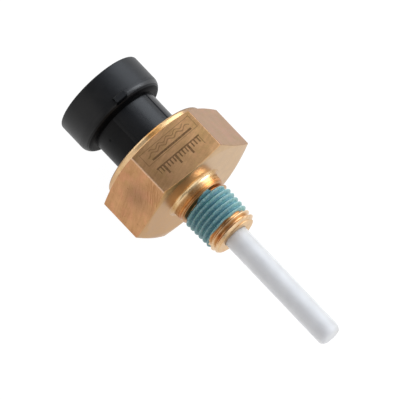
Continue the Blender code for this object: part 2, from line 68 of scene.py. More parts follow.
# ================================================================== materials
class Graph:
    """Short calls for building one node material."""

    def __init__(self, name):
        self.mat = bpy.data.materials.new(name)
        self.mat.use_nodes = True
        self.nt = self.mat.node_tree
        self.nt.nodes.clear()
        self.out = self.nt.nodes.new("ShaderNodeOutputMaterial")
        self.bsdf = self.nt.nodes.new("ShaderNodeBsdfPrincipled")
        self.nt.links.new(self.bsdf.outputs["BSDF"], self.out.inputs["Surface"])
        coords = self.nt.nodes.new("ShaderNodeTexCoord")
        shift = self.nt.nodes.new("ShaderNodeMapping")
        shift.vector_type = "POINT"
        shift.inputs["Location"].default_value = (0, 0, -AXIS_Z)
        shift.inputs["Scale"].default_value = (1000, 1000, 1000)
        self.link(coords.outputs["Object"], shift.inputs["Vector"])
        self.mm = shift.outputs["Vector"]     # millimetres from the switch's axis
        split = self.nt.nodes.new("ShaderNodeSeparateXYZ")
        self.link(self.mm, split.inputs[0])
        self.x, self.y, self.z = split.outputs

    def link(self, a, b):
        self.nt.links.new(a, b)

    def _in(self, socket, value):
        if isinstance(value, (int, float)):
            socket.default_value = value
        elif isinstance(value, tuple):
            socket.default_value = value if len(value) == len(socket.default_value) else (*value, 1.0)
        else:
            self.link(value, socket)

    def set(self, **values):
        for key, value in values.items():
            self._in(self.bsdf.inputs[key.replace("_", " ").title().replace("Ior", "IOR")], value)
        return self

    def math(self, op, a, b=0.0, c=0.0, clamp=False):
        n = self.nt.nodes.new("ShaderNodeMath")
        n.operation = op
        n.use_clamp = clamp
        self._in(n.inputs[0], a)
        self._in(n.inputs[1], b)
        self._in(n.inputs[2], c)
        return n.outputs[0]

    def add(self, a, b):
        return self.math("ADD", a, b)

    def mul(self, a, b):
        return self.math("MULTIPLY", a, b)

    def combine(self, x, y, z):
        n = self.nt.nodes.new("ShaderNodeCombineXYZ")
        for i, v in enumerate((x, y, z)):
            self._in(n.inputs[i], v)
        return n.outputs[0]

    def step(self, value, low, high):
        n = self.nt.nodes.new("ShaderNodeMapRange")
        n.interpolation_type = "SMOOTHSTEP"
        self._in(n.inputs["Value"], value)
        n.inputs["From Min"].default_value = low
        n.inputs["From Max"].default_value = high
        return n.outputs[0]

    def ramp(self, value, low, high, to_low, to_high):
        n = self.nt.nodes.new("ShaderNodeMapRange")
        self._in(n.inputs["Value"], value)
        n.inputs["From Min"].default_value = low
        n.inputs["From Max"].default_value = high
        n.inputs["To Min"].default_value = to_low
        n.inputs["To Max"].default_value = to_high
        return n.outputs[0]

    def noise(self, scale=(1, 1, 1), detail=2.0, rough=0.5, turn=(0, 0, 0), vector=None, distortion=0.0):
        m = self.nt.nodes.new("ShaderNodeMapping")
        m.inputs["Rotation"].default_value = turn
        self.link(self.mm if vector is None else vector, m.inputs["Vector"])
        s = self.nt.nodes.new("ShaderNodeVectorMath")
        s.operation = "MULTIPLY"
        self.link(m.outputs[0], s.inputs[0])
        s.inputs[1].default_value = scale
        n = self.nt.nodes.new("ShaderNodeTexNoise")
        n.inputs["Scale"].default_value = 1.0
        n.inputs["Detail"].default_value = detail
        n.inputs["Roughness"].default_value = rough
        n.inputs["Distortion"].default_value = distortion
        self.link(s.outputs[0], n.inputs["Vector"])
        return n.outputs["Fac"]

    def mix(self, fac, a, b):
        n = self.nt.nodes.new("ShaderNodeMix")
        n.data_type = "RGBA"
        self._in(n.inputs[0], fac)
        self._in(n.inputs[6], a)
        self._in(n.inputs[7], b)
        return n.outputs[2]

    def tint(self, fac, a, b):
        """Multiplies colour a by colour b."""
        n = self.nt.nodes.new("ShaderNodeMix")
        n.data_type = "RGBA"
        n.blend_type = "MULTIPLY"
        self._in(n.inputs[0], fac)
        self._in(n.inputs[6], a)
        self._in(n.inputs[7], b)
        return n.outputs[2]

    def spot(self, x, y, z, near, far):
        """1 around a place (mm from the axis), fading out to 0."""
        n = self.nt.nodes.new("ShaderNodeVectorMath")
        n.operation = "DISTANCE"
        self.link(self.mm, n.inputs[0])
        n.inputs[1].default_value = (x, y, z)
        return self.math("SUBTRACT", 1.0, self.step(n.outputs["Value"], near, far))

    def bump(self, height, strength, distance_mm=0.05, normal=None):
        n = self.nt.nodes.new("ShaderNodeBump")
        n.inputs["Strength"].default_value = strength
        n.inputs["Distance"].default_value = distance_mm * MM
        self._in(n.inputs["Height"], height)
        if normal is not None:
            self.link(normal, n.inputs["Normal"])
        return n.outputs[0]

    def attribute(self, name):
        n = self.nt.nodes.new("ShaderNodeAttribute")
        n.attribute_name = name
        return n.outputs["Fac"]

    def radius(self):
        n = self.nt.nodes.new("ShaderNodeVectorMath")
        n.operation = "LENGTH"
        self.link(self.combine(0.0, self.y, self.z), n.inputs[0])
        return n.outputs["Value"]


def brass_flat():
    g = Graph("brass_flats")
    # Broad mottling, fine speckle, and the slanting lines of the bar's sanding.
    mottle = g.noise((0.32, 0.32, 0.32), 4, 0.6)
    speckle = g.noise((2.6, 2.6, 2.6), 3, 0.65)
    spin = math.radians(18.5)
    lines = g.noise((2.6, 0.09, 0.09), 3, 0.6, turn=(0, 0, -spin))
    strong = g.step(g.noise((1.1, 0.05, 0.05), 2, 0.5, turn=(0, 0, -spin)), 0.56, 0.64)
    streak = g.noise((4.5, 0.16, 0.16), 2, 0.5, turn=(0, 0, -spin))
    # Scratches that cross the flats on the -Y side steeply.
    across = g.add(g.add(g.mul(g.x, -0.906), g.mul(g.y, -0.2115)), g.add(g.mul(g.z, -0.366), 3.876))
    along = g.add(g.add(g.mul(g.x, 0.423), g.mul(g.y, -0.453)), g.add(g.mul(g.z, -0.785), 8.3))
    left = g.step(g.mul(g.y, -1.0), 9.1, 9.4)
    scratch = g.noise((3.4, 0.10, 1.0), 2, 0.55, vector=g.combine(across, along, 0.0))
    fade = g.mul(g.step(g.x, -4.0, 2.5), g.math("SUBTRACT", 1.0, g.step(along, 7.5, 11.5)))
    scratch_line = g.mul(g.mul(g.step(scratch, 0.56, 0.64), left), g.ramp(fade, 0.0, 1.0, 0.25, 1.0))
    for place, first, last in ((-1.15, 0.8, 8.4), (-1.85, 1.6, 10.2), (-2.35, 1.2, 9.4), (-3.2, 2.6, 9.8), (-0.2, 2.4, 6.4)):
        line = g.math("SUBTRACT", 1.0, g.step(g.math("ABSOLUTE", g.add(across, -place)), 0.06, 0.15))
        ends = g.mul(g.step(along, first, first + 0.8), g.math("SUBTRACT", 1.0, g.step(along, last - 1.2, last)))
        scratch_line = g.math("MAXIMUM", scratch_line, g.mul(g.mul(line, ends), left))
    # Painted light and shade: each side flat has its own tone for the light it gets, warm on the -Y side
    # and greyer on the +Y side, and the upper flat is painted darker towards -Y and lighter towards +Y.
    sides = g.mix(g.step(g.y, -6.0, 6.0), (0.525, 0.280, 0.132), (0.40, 0.244, 0.142))
    upper = g.mix(g.step(g.y, -7.0, -2.0), (0.395, 0.221, 0.105), (0.457, 0.26, 0.127))
    upper = g.mix(g.ramp(g.y, -2.0, 7.5, 0.0, 1.0), upper, (0.675, 0.392, 0.185))
    up = g.step(g.z, 15.6, 15.7)
    colour = g.mix(up, sides, upper)
    tone = g.add(g.add(g.mul(mottle, 0.45), g.mul(speckle, 0.25)), g.mul(lines, 0.35))
    colour = g.tint(1.0, colour, g.mix(g.ramp(tone, 0.40, 0.66, 0.0, 1.0), (0.84, 0.82, 0.79), (1.16, 1.18, 1.21)))
    calm = g.mul(g.step(g.y, 8.9, 9.4), 0.45)
    colour = g.mix(calm, colour, sides)
    pink = g.step(g.noise((0.3, 0.3, 0.3), 3, 0.55), 0.47, 0.62)
    colour = g.tint(g.mul(pink, g.ramp(up, 0.0, 1.0, 0.6, 0.25)), colour, (1.05, 0.94, 1.04))
    olive = g.step(g.noise((0.42, 0.42, 0.42), 3, 0.6, vector=g.combine(g.z, g.x, g.y)), 0.55, 0.68)
    colour = g.tint(g.mul(olive, 0.45), colour, (0.93, 1.0, 0.86))
    # A darker cloud on the lower -Y flat, and small dark specks near its foot.
    cloud = g.mul(g.spot(0.2, -13.2, 8.9, 0.0, 6.4), left)
    colour = g.tint(g.mul(cloud, g.ramp(mottle, 0.35, 0.65, 0.75, 1.0)), colour, (0.68, 0.68, 0.74))
    colour = g.tint(g.mul(scratch_line, 0.9), colour, (0.74, 0.66, 0.56))
    specks = g.mul(g.step(g.noise((1.6, 1.6, 1.6), 2, 0.5), 0.68, 0.74), left)
    colour = g.tint(g.mul(specks, 0.7), colour, (0.62, 0.55, 0.42))

    # The upper long edge on the -Y side is worn bright with a painted highlight, the one on the +Y side dulled with
    # painted shade.
    high = g.step(g.z, 14.8, 15.2)
    worn_edge_highlight = g.math("SUBTRACT", 1.0, g.step(g.math("ABSOLUTE", g.add(g.y, 9.2)), 0.10, 0.26))
    colour = g.mix(g.mul(g.mul(worn_edge_highlight, high), g.ramp(speckle, 0.35, 0.6, 0.35, 0.8)), colour, (0.80, 0.54, 0.36))
    painted_shade_edge = g.math("SUBTRACT", 1.0, g.step(g.math("ABSOLUTE", g.add(g.y, -9.2)), 0.12, 0.34))
    colour = g.tint(g.mul(painted_shade_edge, high), colour, (0.66, 0.64, 0.72))

    # Plain laser marks on the upper flat: a long outline with waves and a bar in
    # it, and a bold row of graduation ticks.
    def bar(value, half, soft=0.035):
        return g.math("SUBTRACT", 1.0, g.step(g.math("ABSOLUTE", value), half - soft, half + soft))

    def both(*masks):
        total = masks[0]
        for m in masks[1:]:
            total = g.mul(total, m)
        return total

    def either(*masks):
        total = masks[0]
        for m in masks[1:]:
            total = g.math("MAXIMUM", total, m)
        return total

    row = g.add(g.y, -0.15)
    ticks_along = g.math("PINGPONG", g.add(row, 20.0), 0.48)
    small_tick = both(bar(ticks_along, 0.19), bar(g.add(g.x, -1.1), 0.8), bar(row, 6.55))
    long_along = g.math("PINGPONG", g.add(row, 20.16), 1.92)
    long_tick = both(bar(long_along, 0.27), bar(g.add(g.x, -1.6), 1.42), bar(row, 6.6))
    base_line = both(bar(g.add(g.x, -0.3), 0.2), bar(row, 6.75))
    place = g.add(g.y, -0.35)
    frame_out = both(bar(g.add(g.x, 3.35), 1.85), bar(place, 7.9))
    frame_in = both(bar(g.add(g.x, 3.35), 1.66), bar(place, 7.71))
    outline = both(frame_out, g.math("SUBTRACT", 1.0, frame_in))
    wave = g.add(g.add(g.x, 3.5), g.mul(g.math("SINE", g.mul(g.y, 2.35)), 0.34))
    wave_line = both(bar(wave, 0.17), bar(place, 6.6))
    wave_b = g.add(g.add(g.x, 4.3), g.mul(g.math("SINE", g.mul(g.y, 2.35)), 0.34))
    wave_line_b = both(bar(wave_b, 0.14), bar(place, 5.4))
    level_bar = both(bar(g.add(g.x, 2.2), 0.28), bar(g.add(place, -0.15), 6.2))
    worn = g.ramp(g.noise((2.4, 2.4, 2.4), 3, 0.6), 0.3, 0.7, 0.6, 1.0)
    bold = both(either(small_tick, long_tick, base_line, level_bar), up, worn)
    faint = both(either(outline, wave_line, wave_line_b), up, worn)
    etched = g.math("MAXIMUM", bold, g.mul(faint, 0.62))
    colour = g.mix(g.mul(etched, 0.93), colour, (0.080, 0.046, 0.022))
    rough = g.ramp(g.add(g.mul(speckle, 0.6), g.mul(lines, 0.4)), 0.35, 0.65, 0.36, 0.5)
    rough = g.add(rough, g.mul(etched, 0.2))
    height = g.add(g.add(g.mul(lines, 0.6), g.mul(streak, 0.5)), g.mul(strong, -0.5))
    height = g.add(height, g.mul(speckle, 0.35))
    height = g.add(height, g.mul(scratch_line, -0.7))
    g.set(base_color=colour, metallic=1.0, roughness=rough, normal=g.bump(height, 0.45, 0.03))
    return g.mat


def brass_turned(name, low, high, rough_low, rough_high, by_radius=False, strength=0.35, density=7.0,
                 stain=0.0, zones=None):
    g = Graph(name)
    along = g.radius() if by_radius else g.x
    rings = g.noise((density, density, density), 3, 0.6, vector=g.combine(along, 0.0, 0.0))
    coarse = g.noise((1.2, 1.2, 1.2), 2, 0.5, vector=g.combine(along, 3.0, 0.0))
    mottle = g.noise((0.35, 0.35, 0.35), 4, 0.6)
    speckle = g.noise((3.0, 3.0, 3.0), 3, 0.6)
    tone = g.add(g.add(g.mul(rings, 0.35), g.mul(mottle, 0.4)), g.mul(speckle, 0.25))
    colour = g.mix(g.ramp(tone, 0.38, 0.62, 0.0, 1.0), low, high)
    if stain:
        patch = g.step(g.noise((0.6, 0.6, 0.6), 4, 0.65, distortion=0.4), 0.52, 0.7)
        colour = g.mix(g.mul(patch, stain), colour, (0.62, 0.25, 0.09))
    if zones:
        colour = zones(g, colour)
    rough = g.ramp(g.add(g.mul(mottle, 0.5), g.mul(speckle, 0.5)), 0.35, 0.65, rough_low, rough_high)
    height = g.add(g.mul(rings, 1.0), g.mul(coarse, 0.7))
    g.set(base_color=colour, metallic=1.0, roughness=rough, normal=g.bump(height, strength, 0.02))
    return g.mat


def face_zones(g, colour):
    """The turned face is warmer and darker towards -Y and at its lower edge, as painted shade; it is also a little
    warmer close to the hub.
    """
    colour = g.tint(g.step(g.mul(g.y, -1.0), -6.0, 6.0), colour, (0.88, 0.74, 0.50))
    colour = g.tint(g.step(g.mul(g.y, -1.0), 7.5, 12.5), colour, (0.93, 0.89, 0.82))
    near_hub = g.math("SUBTRACT", 1.0, g.step(g.radius(), 7.6, 12.0))
    return g.tint(g.mul(near_hub, g.step(g.mul(g.y, -1.0), -2.0, 4.0)), colour, (1.0, 0.97, 0.88))


def hub_zones(g, colour):
    """Paler beside the face and orange-brown next to the thread, with painted shade at the fillet's ends, at the
    hub's end and on its -Y side.
    """
    edge = g.add(g.x, g.mul(g.noise((0.8, 0.8, 0.8), 3, 0.6), 0.9))
    colour = g.tint(g.step(edge, 8.3, 9.0), colour, (0.84, 0.58, 0.38))
    # Painted shade at the fillet's upper and lower ends.
    fillet = g.math("SUBTRACT", 1.0, g.step(g.x, 7.4, 7.9))
    ends = g.math("MAXIMUM", g.step(g.y, 4.0, 6.2), g.step(g.mul(g.y, -1.0), 5.2, 7.0))
    colour = g.tint(g.mul(fillet, ends), colour, (0.56, 0.45, 0.30))
    # Painted shade at the hub's end, beside the thread's first groove.
    colour = g.tint(g.step(g.x, 8.7, 8.85), colour, (0.66, 0.50, 0.36))
    # Painted shade on the -Y side of the hub beyond the fillet.
    low = g.mul(g.step(g.mul(g.y, -1.0), -1.0, 4.0), g.step(g.x, 7.2, 7.8))
    return g.tint(low, colour, (0.80, 0.72, 0.62))


def collar_zones(g, colour):
    """A painted highlight band on the upper -Y side, darker low on the -Y side, brown along the top, and painted
    shade near the +Y corner and round the rolled edge.
    """
    # Painted highlight: a brighter band on the upper -Y side.
    painted_highlight_band = g.mul(g.step(g.mul(g.y, -1.0), 2.2, 4.6), g.math("SUBTRACT", 1.0, g.step(g.mul(g.y, -1.0), 9.2, 11.4)))
    colour = g.tint(painted_highlight_band, colour, (1.16, 1.20, 1.30))
    colour = g.tint(g.step(g.mul(g.y, -1.0), 11.4, 13.2), colour, (0.82, 0.79, 0.82))
    brown = g.mul(g.step(g.y, -3.4, -1.2), g.math("SUBTRACT", 1.0, g.step(g.y, 0.8, 3.0)))
    colour = g.tint(brown, colour, (1.0, 0.80, 0.55))
    # Painted shade near the +Y corner of the hexagon, and round the rolled edge on both sides.
    colour = g.tint(g.step(g.y, 7.9, 9.6), colour, (0.50, 0.48, 0.56))
    rolled = g.math("SUBTRACT", 1.0, g.step(g.x, COLLAR_X + 0.25, COLLAR_X + 0.65))
    sides = g.math("MAXIMUM", g.step(g.mul(g.y, -1.0), 7.5, 10.5), g.step(g.y, 4.0, 7.0))
    return g.tint(g.mul(rolled, sides), colour, (0.46, 0.40, 0.36))


def thread_zones(g, colour):
    """Painted shade in the grooves and in the bare first groove by the hub, and a reddish stain low on the +X end."""
    depth = g.math("SUBTRACT", g.ramp(g.x, 9.3, 21.5, 6.8, 6.42), g.radius())
    groove = g.mul(g.step(depth, 0.15, 0.85), g.math("SUBTRACT", 1.0, g.step(g.x, 20.9, 21.2)))
    # Painted shade in the grooves.
    colour = g.tint(groove, colour, (0.96, 0.90, 0.84))
    colour = g.tint(g.mul(g.spot(20.3, -4.9, 4.0, 0.2, 2.6), 0.9), colour, (0.92, 0.76, 0.62))
    # Painted shadow in the bare first groove between the hub and the sealant.
    near_hub = g.math("SUBTRACT", 1.0, g.step(g.x, 10.7, 11.4))
    colour = g.tint(near_hub, colour, (0.62, 0.46, 0.32))
    return g.tint(g.step(g.x, 21.3, 21.45), colour, (0.90, 0.80, 0.60))


def black_plastic(name, rough_low, rough_high, specular, shade=1.0):
    g = Graph(name)
    grain = g.noise((5.0, 5.0, 5.0), 4, 0.6)
    flow = g.noise((0.25, 0.25, 0.25), 3, 0.55)
    fine = g.noise((14.0, 14.0, 14.0), 2, 0.6)
    low, high = (0.0034, 0.0040, 0.0056), (0.0066, 0.0072, 0.0092)
    colour = g.mix(g.ramp(flow, 0.35, 0.65, 0.0, 1.0), tuple(shade * c for c in low), tuple(shade * c for c in high))
    # Painted reflection colour: the -Y side is tinted warm, so only the side towards +Y keeps the bluish tone of the
    # cool light.
    colour = g.tint(g.step(g.mul(g.y, -1.0), -2.0, 4.0), colour, (1.12, 1.0, 0.80))
    # A small round gate mark low on the neck.
    gate = g.spot(-15.8, -7.5, 5.3, 0.25, 0.52)
    colour = g.tint(gate, colour, (0.3, 0.3, 0.3))
    rough = g.ramp(g.add(g.mul(flow, 0.5), g.mul(grain, 0.5)), 0.35, 0.65, rough_low, rough_high)
    rough = g.add(rough, g.mul(gate, 0.3))
    height = g.add(g.mul(grain, 0.6), g.mul(fine, 0.5))
    height = g.add(height, g.mul(gate, -30.0))
    g.bsdf.inputs["Specular IOR Level"].default_value = specular
    g.set(base_color=colour, roughness=rough, normal=g.bump(height, 0.14, 0.02))
    return g.mat


def white_plastic():
    g = Graph("white_probe")
    cloud = g.noise((0.3, 0.3, 0.3), 3, 0.5)
    fine = g.noise((6.0, 6.0, 6.0), 3, 0.6)
    colour = g.mix(g.ramp(cloud, 0.35, 0.65, 0.0, 1.0), (0.690, 0.690, 0.705), (0.735, 0.735, 0.748))
    # Painted shade: a little greyer along the lit +Y side, damping the light there; also a little greyer at the tip.
    colour = g.tint(g.step(g.y, 0.2, 2.6), colour, (0.76, 0.75, 0.72))
    colour = g.tint(g.step(g.x, 51.0, 55.8), colour, (0.92, 0.915, 0.91))
    rough = g.ramp(fine, 0.3, 0.7, 0.34, 0.42)
    g.bsdf.inputs["Subsurface Weight"].default_value = 0.9
    g.bsdf.inputs["Specular IOR Level"].default_value = 0.3
    g.bsdf.inputs["Subsurface Radius"].default_value = (3.0 * MM, 3.0 * MM, 3.1 * MM)
    g.bsdf.inputs["Subsurface Scale"].default_value = 1.0
    g.set(base_color=colour, roughness=rough, normal=g.bump(g.add(fine, cloud), 0.05, 0.02))
    return g.mat


def sealant():
    g = Graph("dried_sealant")
    lump = g.noise((0.9, 0.9, 0.9), 4, 0.6)
    fine = g.noise((4.5, 4.5, 4.5), 4, 0.65)
    patch = g.noise((1.5, 2.6, 2.6), 3, 0.6)
    crest = g.attribute("crest")
    tone = g.add(g.add(g.mul(lump, 0.25), g.mul(fine, 0.4)), g.mul(patch, 0.35))
    # Deep blue in the grooves, partly as painted shade; pale grey-teal where the film is thin on the crests.
    colour = g.mix(g.step(crest, 0.15, 0.85), (0.050, 0.168, 0.225), (0.150, 0.318, 0.335))
    colour = g.tint(1.0, colour, g.mix(g.ramp(tone, 0.38, 0.62, 0.0, 1.0), (0.50, 0.57, 0.65), (1.60, 1.50, 1.42)))
    # Painted light: brighter on the +Y side, towards the key light.
    colour = g.tint(g.step(g.y, 0.5, 4.5), colour, (1.42, 1.30, 1.24))
    green = g.step(g.noise((0.8, 0.8, 0.8), 3, 0.6, vector=g.combine(g.x, g.z, g.y)), 0.52, 0.66)
    colour = g.mix(g.mul(green, 0.5), colour, (0.085, 0.325, 0.25))
    pale = g.mul(g.step(g.noise((1.1, 1.1, 1.1), 4, 0.65, vector=g.combine(g.z, g.x, g.y)), 0.60, 0.70), 0.55)
    colour = g.mix(pale, colour, (0.33, 0.46, 0.48))
    # Brushed on along the axis, across the ridges.
    brushed = g.noise((0.55, 2.8, 2.8), 4, 0.65)
    colour = g.tint(1.0, colour, g.mix(g.ramp(brushed, 0.38, 0.62, 0.0, 1.0), (0.74, 0.80, 0.86), (1.28, 1.20, 1.12)))
    dot = g.step(g.noise((2.6, 2.6, 2.6), 2, 0.5, vector=g.combine(g.y, g.z, g.x)), 0.63, 0.70)
    colour = g.mix(g.mul(dot, 0.6), colour, (0.40, 0.58, 0.58))
    thin = g.mul(g.step(crest, 0.6, 1.0), g.step(patch, 0.46, 0.6))
    colour = g.mix(g.mul(thin, 0.55), colour, (0.34, 0.33, 0.32))
    rough = g.ramp(fine, 0.3, 0.7, 0.46, 0.66)
    height = g.add(g.mul(lump, 0.7), g.mul(fine, 0.7))
    g.set(base_color=colour, roughness=rough, normal=g.bump(height, 0.5, 0.08))
    return g.mat


def plain(name, low, high, rough, metallic=0.0, scale=2.0, bump=0.1, stretch=(1, 1, 1)):
    """A small part's finish: two tones, grain and a little bump."""
    g = Graph(name)
    a = g.noise(tuple(scale * s for s in stretch), 3, 0.6)
    b = g.noise(tuple(scale * 5 * s for s in stretch), 2, 0.5)
    colour = g.mix(g.ramp(g.add(g.mul(a, 0.6), g.mul(b, 0.4)), 0.38, 0.62, 0.0, 1.0), low, high)
    r = g.ramp(b, 0.3, 0.7, max(0.05, rough - 0.06), rough + 0.06)
    g.set(base_color=colour, metallic=metallic, roughness=r, normal=g.bump(b, bump, 0.02))
    return g.mat


M_FLAT = brass_flat()
M_HUB = brass_turned("brass_hub", (0.69, 0.45, 0.22), (0.95, 0.72, 0.43), 0.24, 0.34, strength=0.2, stain=0.3,
                     zones=hub_zones)
M_FACE = brass_turned("brass_face", (0.485, 0.308, 0.160), (0.62, 0.43, 0.246), 0.31, 0.43, by_radius=True,
                      strength=0.2, density=5.0, zones=face_zones)
M_COLLAR = brass_turned("brass_collar", (0.62, 0.38, 0.17), (0.86, 0.60, 0.33), 0.34, 0.44, strength=0.25,
                        zones=collar_zones)
M_THREAD = brass_turned("brass_thread", (0.60, 0.41, 0.23), (0.84, 0.62, 0.39), 0.26, 0.38, strength=0.12, stain=0.45,
                       zones=thread_zones)
M_BLACK = black_plastic("black_housing", 0.35, 0.45, 0.30)
M_NECK = black_plastic("black_neck", 0.25, 0.34, 0.31)
# Duller copies of the neck's finish for its sides and lower side, as painted shade.
M_NECK_MID = black_plastic("black_neck_side_painted_shade", 0.28, 0.37, 0.24)
M_NECK_LOW = black_plastic("black_neck_low_painted_shade", 0.34, 0.44, 0.125, 1.05)
# A glossier copy for the shoulder's +Y side, as a painted highlight.
M_SHOULDER_SHEEN = black_plastic("black_shoulder_painted_highlight", 0.31, 0.41, 0.44)
# Darker, duller copies as painted shade in the shoulder's root, the crease at the neck's base and the key's shaded
# faces.
M_ROOT_SHADE = black_plastic("black_root_painted_shade", 0.36, 0.46, 0.15, 0.7)
M_RECESS_SHADE = black_plastic("black_recess_painted_shade", 0.42, 0.52, 0.04, 0.35)
M_WHITE = white_plastic()
M_SEALANT = sealant()
M_TIN = plain("tinned_blades", (0.55, 0.55, 0.54), (0.74, 0.74, 0.72), 0.3, 1.0, 3.0, 0.12, (0.3, 2, 2))
M_RUBBER = plain("seal_rubber_black", (0.012, 0.012, 0.012), (0.03, 0.03, 0.03), 0.6)
M_BOARD = plain("board_green_mask", (0.012, 0.09, 0.035), (0.02, 0.15, 0.06), 0.4)
M_CHIP = plain("component_black", (0.012, 0.012, 0.013), (0.03, 0.03, 0.03), 0.5)
M_CERAMIC = plain("component_tan", (0.36, 0.25, 0.14), (0.5, 0.37, 0.22), 0.5)
M_STEEL = plain("bright_steel", (0.5, 0.5, 0.5), (0.68, 0.68, 0.67), 0.28, 1.0, 3.0, 0.1, (0.3, 2, 2))
M_POTTING = plain("potting_epoxy", (0.018, 0.016, 0.014), (0.04, 0.036, 0.03), 0.4)


# ===================================================================== meshes
def smoothstep(t):
    t = np.clip(t, 0.0, 1.0)
    return t * t * (3 - 2 * t)


def turned_mesh(name, rows, phi, mats, attributes=None, closed=False, pole_first=None, pole_last=None,
                sharp=40.0):
    """A surface around the axis from rows of (x, r, material index).

    x and r may be numbers or arrays over the angles phi.
    """
    n = len(phi)
    cos, sin = np.cos(phi), np.sin(phi)
    verts, face_mats = [], []
    for x, r, _ in rows:
        x = np.broadcast_to(np.asarray(x, float), (n,))
        r = np.broadcast_to(np.asarray(r, float), (n,))
        verts.append(np.stack([x, r * cos, r * sin + AXIS_Z], -1))
    count = len(rows)
    verts = np.concatenate(verts) * MM
    faces = []
    pairs = [(i, i + 1) for i in range(count - 1)] + ([(count - 1, 0)] if closed else [])
    j = np.arange(n)
    k = (j + 1) % n
    for a, b in pairs:
        faces.append(np.stack([a * n + j, b * n + j, b * n + k, a * n + k], -1))
        face_mats += [rows[b][2]] * n
    faces = np.concatenate(faces).tolist()
    extra = []
    for pole, row in ((pole_first, 0), (pole_last, count - 1)):
        if pole is not None:
            extra.append((pole * MM, 0.0, AXIS_Z * MM))
            tip = len(verts) + len(extra) - 1
            for c in range(n):
                d = (c + 1) % n
                ring = (row * n + c, row * n + d)
                faces.append([ring[0], ring[1], tip] if row == 0 else [ring[1], ring[0], tip])
                face_mats.append(rows[row][2])
    if extra:
        verts = np.concatenate([verts, np.array(extra)])
    mesh = bpy.data.meshes.new(name)
    mesh.from_pydata(verts.tolist(), [], faces)
    for m in mats:
        mesh.materials.append(m)
    mesh.polygons.foreach_set("material_index", np.array(face_mats, np.int32))
    mesh.update()
    bm = bmesh.new()
    bm.from_mesh(mesh)
    if bm.calc_volume(signed=True) < 0:
        bmesh.ops.reverse_faces(bm, faces=bm.faces)
    bm.to_mesh(mesh)
    bm.free()
    for key, values in (attributes or {}).items():
        full = np.zeros(len(mesh.vertices), np.float32)
        full[: len(values)] = values
        mesh.attributes.new(key, "FLOAT", "POINT").data.foreach_set("value", full)
    mesh.shade_smooth()
    mesh.set_sharp_from_angle(angle=math.radians(sharp))
    obj = bpy.data.objects.new(name, mesh)
    scene.collection.objects.link(obj)
    return obj


def arc(cx, cr, radius, start, end, steps):
    out = []
    for i in range(steps + 1):
        a = math.radians(start + (end - start) * i / steps)
        out.append((cx + radius * math.cos(a), cr + radius * math.sin(a)))
    return out


def finish_piece(obj, nodes):
    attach(obj, "root")
    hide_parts(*nodes)
    return obj


def front_x(r):
    return HEX_FRONT_X - np.maximum(0.0, r - HEX_FACE_R) * FRONT_SLOPE


def back_x(r):
    return BACK_FLAT_X + (r - FLAT) * BACK_SLOPE


def hex_radius(phi, flat=FLAT, edge=HEX_EDGE):
    """Distance from the axis to a hexagon with rounded corners; corners at 0, 60, ... degrees."""
    off = np.abs((phi + math.pi / 6) % (math.pi / 3) - math.pi / 6)    # 0 at a corner
    straight = flat / np.cos(math.pi / 6 - off)
    centre = (flat - edge) / math.cos(math.pi / 6)
    inside = edge ** 2 - (centre * np.sin(off)) ** 2
    rounded = centre * np.cos(off) + np.sqrt(np.maximum(inside, 0.0))
    # The corner arc ends where it touches the flat.
    touch = math.atan2(edge * math.sin(math.pi / 6), centre + edge * math.cos(math.pi / 6))
    return np.where(off < touch, rounded, straight)


# ----------------------------------------------------------------- brass body
corner_steps = np.radians([0.12, 0.3, 0.5, 0.75, 1.2])
columns = list(np.linspace(0, math.tau, 252, endpoint=False))
for corner in range(6):
    for s in corner_steps:
        columns += [(corner * math.pi / 3 + s) % math.tau, (corner * math.pi / 3 - s) % math.tau]
phi = np.array(sorted(set(round(c, 7) for c in columns)))


def crest_radius(x):
    return CREST_R - (x - TAPER_X) * TAPER


def crest_distance(x, angle):
    """0 on a crest, 1 in the middle of a groove."""
    phase = (x - CREST_X0) / PITCH - angle / math.tau
    return np.abs((phase + 0.5) % 1.0 - 0.5) * 2


def thread_depth(x, angle):
    flank = np.clip((crest_distance(x, angle) - 0.10) / 0.80, 0.0, 1.0)
    run_in = smoothstep((x - 8.95) / 1.1)
    return THREAD_DEPTH * flank * run_in


def thread_radius(x, angle):
    body = crest_radius(x) - thread_depth(x, angle)
    chamfer = 5.62 + (END_X - x) * 0.95
    return np.minimum(body, chamfer)


FLATS, HUB, FACE, COLLAR, THREAD = 0, 1, 2, 3, 4
rows = []
for x, r in ((20.6, 3.23), (21.3, 3.23), (21.44, 3.27), (END_X, 3.38), (END_X, 4.0), (END_X, 4.6),
             (END_X, 5.1), (END_X, 5.45), (END_X - 0.03, 5.58)):
    rows.append((x, r, THREAD))
# Finer rows where the thread is bare, coarser ones under the sealant.
for x in (list(np.arange(END_X - 0.1, 17.6, -PITCH / 38)) + list(np.arange(17.55, 11.4, -PITCH / 10))
          + list(np.arange(11.35, 9.0, -PITCH / 38))):
    rows.append((x, thread_radius(x, phi), THREAD))
for x, r in ((HUB_END + 0.12, 6.8), (HUB_END, 6.86), (HUB_END - 0.12, HUB_R), (8.4, HUB_R), (7.8, HUB_R),
             (7.6, HUB_R)):
    rows.append((x, r, HUB))
for x, r in arc(HEX_FRONT_X + 1.1, HUB_R + 1.1, 1.1, 270, 180, 10):
    rows.append((x, r, HUB))
for r in (8.4, 8.9, 9.6, 10.8, 12.4, 14.0, HEX_FACE_R - 0.12):
    rows.append((HEX_FRONT_X, r, FACE))
hexr = hex_radius(phi)
rows.append((HEX_FRONT_X - 0.012, HEX_FACE_R + 0.08, FACE))
EDGE = 0.13
for t in (0.34, 0.67, 1.0):
    r = (HEX_FACE_R + 0.1) * (1 - t) + (hexr - EDGE) * t
    rows.append((front_x(r), r, FACE))
front_edge = front_x(hexr)
for a in (22.5, 45, 67.5, 90):
    rows.append((front_edge - EDGE * (1 - math.cos(math.radians(a))),
                 hexr - EDGE * (1 - math.sin(math.radians(a))), FLATS))
back_edge = back_x(hexr)
